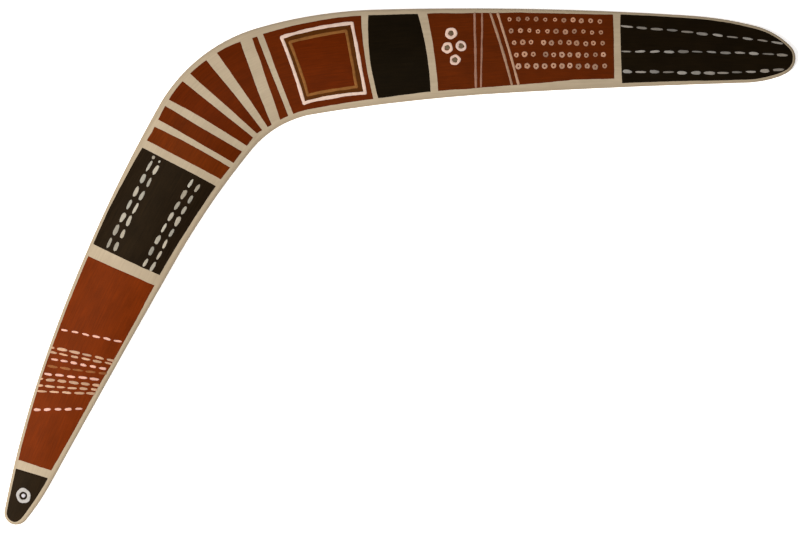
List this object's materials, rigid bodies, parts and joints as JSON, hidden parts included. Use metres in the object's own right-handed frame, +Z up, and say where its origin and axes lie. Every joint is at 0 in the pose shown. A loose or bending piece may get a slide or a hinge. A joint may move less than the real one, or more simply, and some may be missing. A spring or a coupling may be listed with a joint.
{
  "type": "boomerang",
  "caption": "Hand-painted timber boomerang: a flat-backed, round-faced bent blade with a cream ground coat under red and black fields, dabs, rings and lines.",
  "frame": {"origin": "middle of the elbow on the flat underside, where the blade's centreline passes", "axes": "+X along the longer, upper arm; +Y towards the outside of the elbow; +Z up out of the painted face; the part rests on its flat underside at z = 0"},
  "size_m": [0.4342, 0.2835, 0.0094],
  "materials": {
    "timber": "oiled, bare on the underside, long grain following the board",
    "cream_paint": "dried matt paint film, brushed, warm cream",
    "red_paint": "dried low-sheen paint film, brushed, red ochre",
    "infill_paint": "second coat of the red, slightly redder and glossier",
    "brown_paint": "thin dark line, low sheen, red brown",
    "black_paint": "dried low-sheen paint film, brushed, warm black",
    "white_paint": "thick matt dabs and lines, off-white",
    "tan_paint": "thin matt dabs and lines, pinkish tan",
    "stone_paint": "thick matt dabs, grey-cream",
    "ochre_paint": "matt dabs and lines, yellow ochre",
    "olive_paint": "matt spots, dull grey-olive"
  },
  "bodies": {
    "root": {"blank": "timber", "ground_coat": "cream_paint", "field_tip_upper": "black_paint", "field_red_upper": "red_paint", "field_black_mid": "black_paint", "field_red_framed": "red_paint", "stripe_thin": "red_paint", "stripe_fan_1": "red_paint", "stripe_fan_2": "red_paint", "stripe_fan_3": "red_paint", "stripe_fan_4": "red_paint", "stripe_fan_5": "red_paint", "field_black_lower": "black_paint", "field_red_lower": "red_paint", "field_tip_lower": "black_paint", "dabs_tip_upper": "stone_paint", "rings_small": "tan_paint", "rings_cluster": "white_paint", "ring_centres": "olive_paint", "lines_leaning": "tan_paint", "lines_square": "tan_paint", "frame_white": "white_paint", "frame_dark": "brown_paint", "frame_ochre": "ochre_paint", "frame_infill": "infill_paint", "dabs_black_lower": "stone_paint", "dabs_white_lower": "white_paint", "dabs_tan_lower": "tan_paint", "dabs_ochre_lower": "ochre_paint", "roundel_ring": "white_paint", "roundel_dot": "white_paint"}
  },
  "joints": []
}
